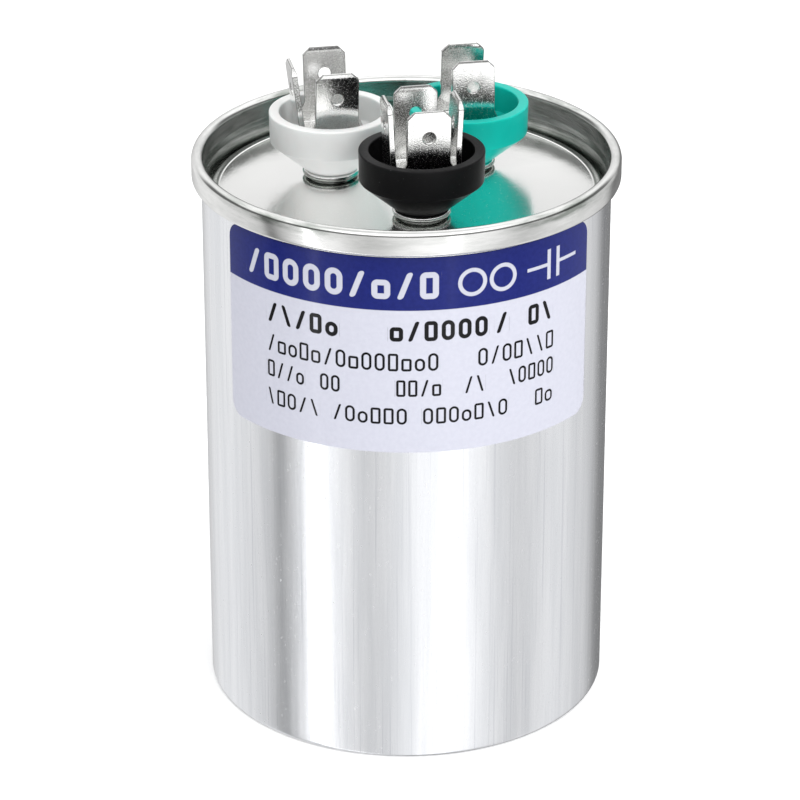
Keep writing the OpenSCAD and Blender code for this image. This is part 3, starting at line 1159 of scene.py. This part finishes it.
@dataclass
class CanAndLid:
    """The drawn can and the lid that is seamed to it, in millimetres.

    Beside a bend, at the distance `near`, a straight wall gets one more point, so that the
    shading of the bend doesn't run up the wall.
    """

    levels: Levels
    edge_r: float = 0.75
    foot_w: float = 4.5
    rise: float = 0.5
    wall_z: float = 2.0
    panel_rise: float = 1.6
    panel_edge: float = 0.55
    ridge_in: float = 0.55
    ridge_half: float = 0.28
    ridge_h: float = 0.10
    groove: float = 0.36
    near: float = 0.12
    near_share: float = 0.15
    hook_gap: float = 0.35
    bead_r: float = 0.45
    bead_turn: float = 118.0
    bead_foot: float = 0.31
    bore_depth: float = 3.0
    steps: int = 256
    collar_steps: int = 64

    def build(self) -> None:
        """Builds and dresses the can and the lid."""
        dress(self.can(), DrawnAluminium("drawn_aluminium"), "can_aluminium", "can")
        dress(self.lid(), RolledTin("rolled_tin"), "lid_tin", "lid")

    def can(self) -> bpy.types.Object:
        """The can with its foot, wall, neck and seam flange.

        Returns:
            The can.
        """
        v = self.levels
        corner = v.can_r - self.edge_r
        half = v.wall / 2
        line = [(0.0, self.rise + half), (corner - self.foot_w - self.rise, self.rise + half),
                (corner - self.foot_w, half)]
        line += arc((corner, self.edge_r), self.edge_r - half, -90, 0)
        line += [(v.body_line, self.wall_z), (v.body_line, v.neck_z - 1), (v.body_line, v.neck_z),
                 (v.body_line + v.neck_out, v.neck_z + v.neck_h)]
        line += arc((v.arch_r, v.arch_z), v.layer, 180, 0, 10)
        line += [(v.arch_r + v.layer, v.curl_z + self.hook_gap)]
        piece = Bench.lathe("can_body", strip(line, v.wall), self.steps, closed=False)
        Bench.smooth(piece)
        return piece

    def lid(self) -> bpy.types.Object:
        """The lid with its panel, groove, wall and seam, bored and collared for the cups.

        Returns:
            The lid.
        """
        v = self.levels
        line = self.panel()
        groove_z = v.panel_z - self.panel_rise + self.groove
        line += arc((v.chuck_low - self.groove, groove_z - v.sheet / 2), self.groove, 180, 360)
        low, high = v.chuck_low, v.chuck_low + v.neck_out
        near, nudge = self.near, self.near_share * v.neck_out
        line += [(low, groove_z + near), (low, v.neck_z - near), (low, v.neck_z),
                 (low + nudge, v.neck_z + near), (high - nudge, v.neck_z + v.neck_h - near),
                 (high, v.neck_z + v.neck_h), (high, v.neck_z + v.neck_h + near),
                 (high, v.arch_z - near)]
        line += arc((v.arch_r, v.arch_z), 2 * v.layer, 180, 0, 20)
        line += arc((v.arch_r + v.layer, v.curl_z), v.layer, 0, -180)
        line += [(v.arch_r, v.arch_z - 2 * self.hook_gap)]
        piece = Bench.lathe("lid_sheet", strip(line, v.sheet), self.steps, closed=False)
        for terminal in Terminal:
            centre = terminal.place(v) @ Matrix.Translation((0, 0, v.panel_z * MM))
            Bench.drill(piece, v.collar_r, self.bore_depth, centre)
        collar = self.collar()
        for terminal in Terminal:
            Bench.combine(piece, Bench.copy(collar, "collar_copy", terminal.place(v)), "UNION")
        bpy.data.objects.remove(collar)
        Bench.smooth(piece)
        return piece

    def panel(self) -> list[Point]:
        """Middle line of the lid's panel, with the low ridge near its rounded edge.

        Returns:
            Radii and heights from the axis outwards.
        """
        v = self.levels
        edge = v.chuck_low - 2 * self.groove - self.panel_edge
        flat = v.panel_z - v.sheet / 2
        ridge = [(edge - self.ridge_in + t * self.ridge_half,
                  flat + self.ridge_h * math.cos(t * math.pi / 2) ** 2)
                 for t in (i / 4 for i in range(-4, 5))]
        return [(0.0, flat)] + ridge + arc((edge, flat - self.panel_edge), self.panel_edge, 90, 0)

    def collar(self) -> bpy.types.Object:
        """A drawn collar with the bead that a cup is seated on.

        Returns:
            The collar, on the axis.
        """
        v = self.levels
        low = v.panel_under
        bead_z = v.seat_z - self.bead_r
        bead = (v.collar_r + self.bead_r + v.sheet / 2, bead_z)
        inner, outer = v.collar_r, v.collar_r + v.sheet
        profile = [(inner, low), (outer, low), (outer, bead_z - self.bead_foot)]
        profile += arc(bead, self.bead_r, -self.bead_turn, self.bead_turn, 20)
        profile += [(inner, bead_z)]
        return Bench.lathe("collar", profile, self.collar_steps)


@dataclass
class Label:
    """The printed film round the can's front, in millimetres and degrees."""

    levels: Levels
    film: float = 0.08
    height: float = 30.2
    drop: float = 4.3
    half: float = 58.2
    turn: float = 1.1
    corner: float = 2.4
    spare: float = 1.0
    steps: int = 512

    def build(self) -> None:
        """Builds and dresses the label."""
        finish = PrintedFilm("printed_film", self.levels.can_r + self.film, self.turn)
        dress(self.sheet(), finish, "label_film", "label")

    def sheet(self) -> bpy.types.Object:
        """The film: a thin ring crossed with the label's outline.

        Returns:
            The film.
        """
        v = self.levels
        low = v.can_h - self.drop - self.height
        outer = v.can_r + self.film
        ends = (low - self.spare, low + self.height + self.spare)
        ring = Bench.lathe("label_sheet", [(v.can_r, ends[0]), (outer, ends[0]), (outer, ends[1]),
                                           (v.can_r, ends[1])], self.steps)
        half = (v.can_r * math.radians(self.half), self.height / 2)
        outline: list[Vector] = []
        for x, z, start in ((1, -1, -90), (1, 1, 0), (-1, 1, 90), (-1, -1, 180)):
            middle = (x * (half[0] - self.corner), z * (half[1] - self.corner))
            for s, t in arc(middle, self.corner, start, start + 90, 8):
                outline.append(Vector((outer * math.sin(s / v.can_r), 0,
                                       low + self.height / 2 + t)) * MM)
        prism = Bench.slab("prism", outline, Vector((0, -(v.can_r + self.spare) * MM, 0)))
        Bench.combine(ring, prism, "INTERSECT")
        Bench.settle(ring, Matrix.Rotation(math.radians(self.turn), 4, "Z"))
        Bench.smooth(ring)
        return ring


@dataclass
class Cups:
    """The three moulded cups and the rivets that hold them, in millimetres.

    `near` is the distance from a rounding to the first point of the straight wall beside it.
    """

    levels: Levels
    wall: float = 1.5
    seat_r: float = 3.85
    seat_cut: Point = (0.1, 0.05)
    stem_cut: float = 0.02
    lip_r: float = 0.2
    near: float = 0.15
    draft: float = 0.1
    head_r: float = 2.4
    head_h: float = 0.8
    steps: int = 128
    rivet_steps: int = 48
    finishes: dict[Terminal, Finish] = field(default_factory=lambda: {
        Terminal.WHITE: Moulding("white_moulding", (0.655, 0.660, 0.655, 1.0),
                                 (0.615, 0.620, 0.613, 1.0), 0.26, 0.45),
        Terminal.BLACK: Moulding("black_moulding", (0.0040, 0.0040, 0.0044, 1.0),
                                 (0.0060, 0.0060, 0.0064, 1.0), 0.30, 0.0, 0.10),
        Terminal.GREEN: Moulding("green_moulding", (0.003, 0.400, 0.335, 1.0),
                                 (0.002, 0.360, 0.300, 1.0), 0.26, 0.35, 0.2)})

    def build(self) -> None:
        """Builds and dresses the cups and rivets."""
        cup = self.cup()
        rivet = self.rivet()
        metal = TinnedSheet("rivet_metal", (0.78, 0.78, 0.77, 1.0), 0.2)
        for terminal in Terminal:
            label, place = terminal.label, terminal.place(self.levels)
            dress(Bench.copy(cup, label + "_well", place), self.finishes[terminal],
                  label + "_moulding", label + "_cup")
            dress(Bench.copy(rivet, label + "_rivet_pin", place), metal, "rivet_metal",
                  label + "_rivet")
        bpy.data.objects.remove(cup)
        bpy.data.objects.remove(rivet)

    def cup(self) -> bpy.types.Object:
        """A stem, a cone, and an upright wall round the well.

        Returns:
            The cup, on the axis.
        """
        v = self.levels
        mouth = v.cup_r - self.wall
        bore, stem = v.shank_r + v.fit, v.collar_r - 2 * v.fit
        r, near = self.lip_r, self.near
        profile = [(bore, v.panel_under), (stem, v.panel_under), (stem, v.seat_z - self.stem_cut),
                   (self.seat_r - self.seat_cut[0], v.seat_z),
                   (self.seat_r, v.seat_z + self.seat_cut[1])]
        low = v.cup_r - self.draft
        profile += arc((low - r, v.cone_top + r), r, -50, 0, 6)
        profile += [(low, v.cone_top + r + near), (v.cup_r, v.cup_top - r - near)]
        profile += arc((v.cup_r - r, v.cup_top - r), r, 0, 90, 8)
        profile += arc((mouth + r, v.cup_top - r), r, 90, 180, 8)
        profile += [(mouth, v.cup_top - r - near), (mouth, v.well_z + r + near)]
        profile += arc((mouth - r, v.well_z + r), r, 0, -90, 6)
        profile += [(mouth - r - near, v.well_z), (bore, v.well_z)]
        piece = Bench.lathe("cup", profile, self.steps)
        Bench.smooth(piece, 28)
        return piece

    def rivet(self) -> bpy.types.Object:
        """A shank with a domed head over the plate and a clinched end under the tag.

        Returns:
            The rivet, on the axis.
        """
        v = self.levels
        tag_z = v.panel_under - v.washer_t - v.tag_t
        plate_z = v.well_z + v.tab_t
        dome = (self.head_r ** 2 + self.head_h ** 2) / (2 * self.head_h)
        edge = math.degrees(math.asin((dome - self.head_h) / dome))
        profile = [(0.0, tag_z - self.head_h), (self.head_r - self.head_h / 2, tag_z - self.head_h),
                   (self.head_r, tag_z), (v.shank_r, tag_z), (v.shank_r, plate_z)]
        profile += arc((0.0, plate_z + self.head_h - dome), dome, edge, 90, 12)
        piece = Bench.lathe("rivet", profile, self.rivet_steps, closed=False)
        Bench.smooth(piece)
        return piece


@dataclass
class TabClusters:
    """The clusters of tab terminals in the wells, in millimetres.

    A cluster's four sides are counted round from the front; side 0 looks to -Y.
    """

    levels: Levels
    width: float = 6.3
    height: float = 11.1
    reach: float = 5.0
    bend: float = 0.3
    root_w: float = 7.5
    root_h: float = 2.0
    shoulder: float = 3.15
    tip_cut: float = 1.05
    tip_bevel: float = 0.7
    tip_t: float = 0.4
    hole: float = 1.9
    hole_drop: float = 4.0
    edge: float = 0.07
    tool_low: float = -3.0
    tool_front: float = -9.0
    tool_length: float = 20.0
    bore_depth: float = 4.0

    def build(self) -> None:
        """Builds and dresses the three clusters."""
        for terminal in Terminal:
            dress(self.cluster(terminal), None, "tab_tin", terminal.label + "_tabs")

    @property
    def flat(self) -> float:
        """Half the flat of a plate."""
        return self.reach - self.levels.tab_t - self.bend

    @staticmethod
    def quarter(side: int) -> Matrix:
        """From side 0 to another side."""
        return Matrix.Rotation(math.radians(90 * side), 4, "Z")

    def tab(self, lean: float) -> bpy.types.Object:
        """A bent-up tab for the plate's front side, with the plate's bottom at height 0.

        Args:
            lean: How far it leans out, in degrees.

        Returns:
            The tab from the start of its bend.
        """
        t = self.levels.tab_t
        top = self.height - self.bend
        turn = math.radians(lean)
        tilt = Matrix.Rotation(turn, 4, "X")
        piece = Bench.slab("tab", self.section(lean, top), Vector((self.root_w * MM, 0, 0)))
        low = 2 * self.root_h - self.shoulder - self.bend
        wide, half = self.root_w - self.width / 2, self.width / 2
        side = [(wide, self.tool_low), (wide, low), (half, self.shoulder - self.bend),
                (half, top - self.tip_cut), (half - 2 * self.tip_cut, top + self.tip_cut)]
        outline = side + [(-x, z) for x, z in reversed(side)]
        prism = Bench.slab("prism", [Vector((x, self.tool_front, z)) * MM for x, z in outline],
                           Vector((0, self.tool_length * MM, 0)))
        Bench.settle(prism, tilt)
        Bench.combine(piece, prism, "INTERSECT")
        place = tilt @ Matrix.Translation((0, 0, (top - self.hole_drop) * MM))
        Bench.drill(piece, self.hole / 2, self.tool_length,
                    place @ Matrix.Rotation(math.pi / 2, 4, "X"))
        Bench.settle(piece, Matrix.Translation((0, -self.flat * MM, (t + self.bend) * MM)))
        return piece

    def section(self, lean: float, top: float) -> list[Vector]:
        """A tab's section across its width: the bend, the leaning blade and its thinned tip.

        Args:
            lean: How far the tab leans out, in degrees.
            top: Height of its tip over the bend's middle.

        Returns:
            The section's corners in metres, at the start of the root's width.
        """
        face = self.bend + self.levels.tab_t
        bevel = (self.levels.tab_t - self.tip_t) / 2
        turn = math.radians(lean)
        out = Vector((-math.cos(turn), -math.sin(turn)))
        up = Vector((-math.sin(turn), math.cos(turn)))
        corners = [Vector(p) for p in arc((0, 0), self.bend, -90, lean - 180)]
        corners += [out * self.bend + up * (top - self.tip_bevel),
                    out * (self.bend + bevel) + up * top, out * (face - bevel) + up * top,
                    out * face + up * (top - self.tip_bevel)]
        corners += [Vector(p) for p in arc((0, 0), face, lean - 180, -90)]
        return [Vector((-self.root_w / 2, p[0], p[1])) * MM for p in corners]

    def plate(self, terminal: Terminal) -> bpy.types.Object:
        """The flat plate, with a longer arm on each side without a tab.

        Args:
            terminal: Which terminal.

        Returns:
            The bored plate on the axis.
        """
        v = self.levels
        half = self.root_w / 2
        outline: list[Vector] = []
        for side, lean in enumerate(terminal.leans):
            reach = self.reach if lean is None else self.flat
            for x, y in ((-half, -reach), (half, -reach), (half, -half)):
                outline.append(self.quarter(side) @ Vector((x, y, 0)) * MM)
        piece = Bench.slab("plate", outline, Vector((0, 0, v.tab_t * MM)))
        Bench.drill(piece, v.shank_r + v.fit, self.bore_depth, Matrix.Identity(4))
        return piece

    def cluster(self, terminal: Terminal) -> bpy.types.Object:
        """A plate with its tabs.

        Args:
            terminal: Which terminal.

        Returns:
            The cluster in its place.
        """
        piece = self.plate(terminal)
        for side, lean in enumerate(terminal.leans):
            if lean is not None:
                blade = self.tab(lean)
                Bench.settle(blade, self.quarter(side))
                Bench.weld(piece, blade)
        Bench.title(piece, terminal.label + "_blades")
        for finish in (TinnedSheet("tinned_sheet"), SHEARED):
            piece.data.materials.append(finish.material())
        Bench.ease(piece, self.edge * MM)
        Bench.settle(piece, terminal.place(self.levels) @ Matrix.Translation(
            (0, 0, self.levels.well_z * MM)))
        Bench.smooth(piece)
        Bench.even(piece)
        return piece


@dataclass
class InnerParts:
    """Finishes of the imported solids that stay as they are, inside the can."""

    def build(self) -> None:
        """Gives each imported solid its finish."""
        board = Granular("pressed_board", (0.42, 0.25, 0.12, 1), (0.30, 0.17, 0.08, 1),
                         rough=0.55, depth=0.1)
        tube = Granular("wound_tube", (0.55, 0.42, 0.26, 1), (0.44, 0.33, 0.20, 1),
                        rough=0.5, depth=0.1)
        zinc = Granular("sprayed_zinc", (0.42, 0.43, 0.44, 1), (0.24, 0.245, 0.25, 1),
                        metal=0.8, rough=0.45, depth=0.5)
        seal = Granular("sealing_rubber", (0.10, 0.10, 0.10, 1), (0.06, 0.06, 0.06, 1),
                        rough=0.6, depth=0.1)
        ivory = Moulding("ivory_moulding", (0.78, 0.76, 0.66, 1), (0.72, 0.70, 0.60, 1), 0.35)
        film = WoundLayers("wound_film")
        wrap = WoundLayers("wrap_film", (0.80, 0.70, 0.45, 1.0), (0.70, 0.60, 0.38, 1.0))
        tape = TinnedSheet("lead_tape", (0.88, 0.88, 0.88, 1.0), 0.2)
        tag = TinnedSheet("tag_tin", (0.85, 0.85, 0.84, 1.0), 0.16)
        plan: dict[str, Finish] = {
            "seam_compound": seal, "outer_winding": film, "inner_winding": film,
            "section_sleeve": tube, "core_tube": tube, "winding_wrap": wrap,
            "bottom_spray": zinc, "outer_spray": zinc, "inner_spray": zinc,
            "disconnect_disc": ivory, "bottom_cup": ivory}
        for terminal in Terminal:
            plan[terminal.label + "_washer"] = board
            plan[terminal.label + "_tag"] = tag
            plan[terminal.label + "_lead"] = tape
        for name, finish in plan.items():
            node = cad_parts[name]
            node.data.materials.clear()
            node.data.materials.append(finish.material())
            LOG.info("node %s keeps its shape", name)


# ----------------------------------------------------------------------------------- the studio


@dataclass(frozen=True)
class Lamp:
    """A soft square lamp: its place, side, power and the point that it is aimed at."""

    name: str
    place: Place
    size: float
    power: float
    aim: Place = (0.0, 0.0, 0.06)


@dataclass
class StudioSet:
    """Floor, light tent, lamps and camera.

    `panels` are the tent's upright panels: the angle round from the front, in degrees, and the
    brightness there.
    """

    focal: float = 173.34
    sensor: float = 36.0
    eye: Place = (0.0, -0.52307, 0.29383)
    pitch: float = 64.513
    yaw: float = 0.103
    floor_w: float = 12.0
    brightest: float = 5.0
    panels: tuple[Point, ...] = (
        (-180, 0.55), (-161, 0.60), (-146, 0.88), (-120, 0.90), (-107, 0.83), (-88, 0.74),
        (-83, 0.62), (-79.5, 0.23), (-76, 0.24), (-72, 0.48), (-66, 0.74), (-58, 1.00),
        (-54.6, 1.10), (-54, 3.8), (-51, 3.8), (-50.4, 1.10), (-38, 1.00), (-31, 0.80),
        (-21, 0.68), (-13, 0.74), (-3, 0.97), (8, 1.15), (23, 1.2), (24, 2.2), (27, 2.2),
        (28, 1.2), (44, 1.02), (54, 0.84), (66, 0.68), (95, 0.90), (134, 0.64), (144, 0.22))
    lights: tuple[Lamp, ...] = (
        Lamp("top_lamp", (0.0, -0.1, 0.9), 0.9, 3.4),
        Lamp("front_lamp", (0.45, -0.90, 0.45), 0.5, 3.9),
        Lamp("left_lamp", (-0.55, -0.45, 0.55), 0.25, 0.5),
        Lamp("right_lamp", (0.6, -0.35, 0.5), 0.25, 1.2),
        Lamp("lid_bounce", (0.0, 0.0, 0.0798), 0.036, 0.0044, (0.0, 0.0, 0.1)))

    def build(self) -> None:
        """Builds the whole set."""
        self.floor()
        self.tent()
        self.lamps()
        self.camera()
        view = bpy.context.scene.view_settings
        view.view_transform = "Standard"
        view.look = "None"

    def floor(self) -> None:
        """A plain pale floor that the gloss of the can doesn't pick up."""
        Bench.clear()
        bpy.ops.mesh.primitive_plane_add(size=self.floor_w, location=(0, 0, 0))
        floor = bpy.context.object
        floor.name = "studio_floor"
        floor.data.materials.append(Studio("floor").material())
        floor.visible_glossy = False
        floor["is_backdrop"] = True

    def tent(self) -> None:
        """A light tent: upright panels of different brightness all round, a dark belt over them
        that is open behind the part, where the flat lid mirrors it, a roof that is dimmer right
        overhead, and more light high in front."""
        world = bpy.data.worlds.new("light_tent")
        bpy.context.scene.world = world
        world.use_nodes = True
        book = NodeBook(world.node_tree)
        x, y, z = book.split(book.node("ShaderNodeTexCoord").outputs["Generated"])
        turn = book.angle(x, y) * (0.5 / math.pi) + 0.5
        stops = [((a + 180) / 360, grey(level / self.brightest)) for a, level in self.panels]
        ramp = book.node("ShaderNodeValToRGB", {"stops": stops}, {0: turn})
        wall = Value(book, ramp.outputs[0]) * self.brightest
        roof = 0.85 + z.rise(0.25, 0.7) * 0.45 - z.rise(0.86, 0.96) * 0.45
        level = wall + z.rise(-0.05, 0.30) * (roof - wall)
        belt = (1 - y.rise(0.58, 0.84)) * z.band(0.13, 0.53, 0.09)
        level = level + belt * (0.18 - level)
        level = level + (1 - y.rise(-0.6, 0.0)) * z.rise(0.52, 0.64) * 0.5
        background = book.node("ShaderNodeBackground", None,
                               {"Color": book.vector(level, level, level), "Strength": 1.0})
        book.node("ShaderNodeOutputWorld", None, {"Surface": background.outputs[0]})

    def lamps(self) -> None:
        """Soft lamps over and beside the part, and the light that the bright lid throws up under
        the cups; metal and gloss don't show them."""
        for plan in self.lights:
            lamp = bpy.data.lights.new(plan.name, "AREA")
            lamp.size = plan.size
            lamp.energy = plan.power
            made = bpy.data.objects.new(plan.name, lamp)
            bpy.context.scene.collection.objects.link(made)
            made.location = plan.place
            sight = Vector(plan.aim) - Vector(plan.place)
            made.rotation_euler = sight.to_track_quat("-Z", "Y").to_euler()
            made.visible_glossy = False
            made.visible_camera = False

    def camera(self) -> None:
        """The camera, straight in front and above."""
        data = bpy.data.cameras.new("camera")
        data.lens = self.focal
        data.sensor_width = self.sensor
        data.clip_start = 0.01
        made = bpy.data.objects.new("camera", data)
        bpy.context.scene.collection.objects.link(made)
        made.location = self.eye
        made.rotation_euler = Euler((math.radians(self.pitch), 0, math.radians(self.yaw)))
        bpy.context.scene.camera = made


def corners() -> list[list[float]]:
    """The lowest and highest corner of all that is shown, as plain lists."""
    return [[round(value, 6) for value in corner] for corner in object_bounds()]


def main() -> None:
    """Builds the dressed part and its set."""
    logging.basicConfig(level=logging.INFO, format="%(message)s")
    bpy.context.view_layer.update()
    levels = Levels()
    for group in (CanAndLid(levels), Label(levels), Cups(levels), TabClusters(levels),
                  InnerParts(), StudioSet()):
        group.build()
        LOG.info("built %s", type(group).__name__)


if __name__ == "__main__":
    main()
